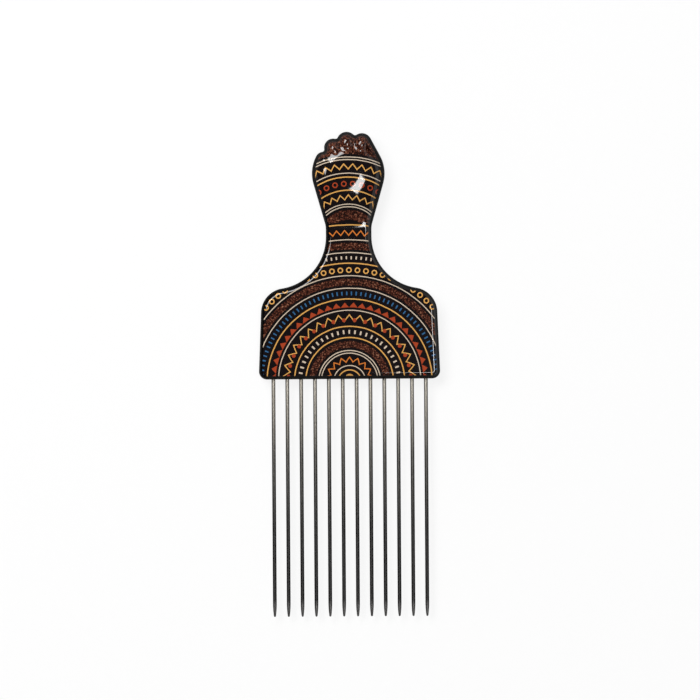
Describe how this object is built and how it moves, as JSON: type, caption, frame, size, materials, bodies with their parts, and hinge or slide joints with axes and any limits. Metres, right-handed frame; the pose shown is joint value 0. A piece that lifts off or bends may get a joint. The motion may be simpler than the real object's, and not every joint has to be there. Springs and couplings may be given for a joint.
{
  "type": "afro pick",
  "caption": "Long-pin afro pick: a flat moulded handle with a wide paddle, a waisted neck and a raised-fist end, printed on the front, with a row of round steel pins.",
  "frame": {"origin": "middle of the pick's outline, on the plane that its flat back lies on", "axes": "+X across the paddle, to the right seen from the printed front; +Y along the pick, from the pins to the fist; +Z out of the printed front"},
  "size_m": [0.0762, 0.204, 0.0121],
  "materials": {
    "handle_plastic": "polished black moulding",
    "print_film": "glossy printed film, gold, cream, rust and blue on black",
    "pin_steel": "dark satin drawn wire, paler near the handle"
  },
  "bodies": {
    "root": {"handle_body": "handle_plastic", "front_print_film": "print_film", "pin_01": "pin_steel", "pin_02": "pin_steel", "pin_03": "pin_steel", "pin_04": "pin_steel", "pin_05": "pin_steel", "pin_06": "pin_steel", "pin_07": "pin_steel", "pin_08": "pin_steel", "pin_09": "pin_steel", "pin_10": "pin_steel", "pin_11": "pin_steel", "pin_12": "pin_steel"}
  },
  "joints": []
}
